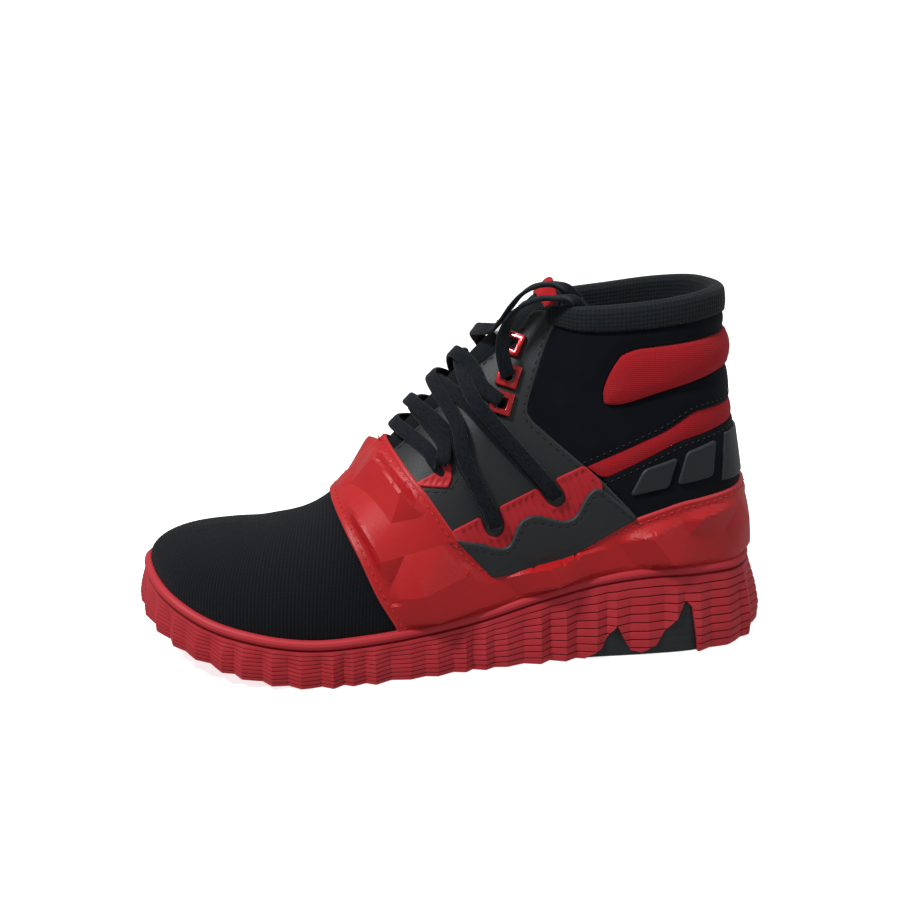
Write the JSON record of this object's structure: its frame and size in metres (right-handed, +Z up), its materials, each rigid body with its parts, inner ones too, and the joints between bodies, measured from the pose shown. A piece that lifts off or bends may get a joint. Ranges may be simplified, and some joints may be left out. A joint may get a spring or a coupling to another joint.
{
  "type": "basketball high top shoe",
  "caption": "Left high top shoe with a knit toe, faceted midfoot band, ribbed wedge sole, laced throat and padded collar.",
  "frame": {"origin": "on the ground, under the middle of the shoe's box", "axes": "+X towards the heel, -Y the outer side, +Z up"},
  "size_m": [0.2958, 0.1092, 0.1704],
  "materials": {
    "knit_black": "ribbed knit",
    "leather_grey": "fine grain, satin",
    "suede_black": "brushed suede",
    "mesh_red": "twill weave",
    "facet_red": "embossed facets, satin",
    "rubber_red": "moulded, matte",
    "rubber_black": "moulded, matte",
    "metal_red": "gloss enamel",
    "mesh_grey": "spacer mesh",
    "foam": "open cell foam",
    "board": "fibre board",
    "lace_black": "flat braid",
    "label_white": "woven satin",
    "aglet_black": "clear moulded"
  },
  "bodies": {
    "shoe": {"vamp": "knit_black", "quarter_lateral": "leather_grey", "quarter_medial": "leather_grey", "collar_suede": "suede_black", "heel_stripe": "mesh_red", "heel_panel": "suede_black", "heel_pad": "mesh_red", "saddle": "facet_red", "wave_overlay_lateral": "leather_grey", "lace_strip_lateral": "rubber_red", "throat_tab_lateral": "rubber_red", "eyelet_lateral_1": "metal_red", "eyelet_lateral_2": "metal_red", "eyelet_lateral_3": "metal_red", "wave_overlay_medial": "leather_grey", "lace_strip_medial": "rubber_red", "throat_tab_medial": "rubber_red", "eyelet_medial_1": "metal_red", "eyelet_medial_2": "metal_red", "eyelet_medial_3": "metal_red", "heel_plate_front_lateral": "leather_grey", "heel_plate_rear_lateral": "leather_grey", "heel_plate_front_medial": "leather_grey", "heel_plate_rear_medial": "leather_grey", "heel_tab": "leather_grey", "heel_counter": "board", "collar_foam": "foam", "lining": "mesh_grey", "toe_puff": "board", "vamp_lining": "mesh_grey", "tread_forefoot": "rubber_red", "tread_heel": "rubber_red", "midsole": "rubber_red", "heel_insert": "rubber_black", "strobel_board": "board", "sockliner": "mesh_grey", "lace": "lace_black", "lace_end_lateral": "lace_black", "aglet_lateral": "aglet_black", "lace_end_medial": "lace_black", "aglet_medial": "aglet_black"},
    "tongue": {"tongue_shell": "knit_black", "tongue_cap": "mesh_red", "tongue_foam": "foam", "tongue_lining": "mesh_grey", "tongue_label": "label_white"}
  },
  "joints": [
    {"name": "tongue_hinge", "type": "hinge", "parent": "shoe", "child": "tongue", "pos_m": [-0.0366, 0.0017, 0.088], "axis": [0, 1, 0], "range_deg": [0, 8], "stiffness_Nm_per_rad": 0.5, "springref_deg": -5.73}
  ]
}
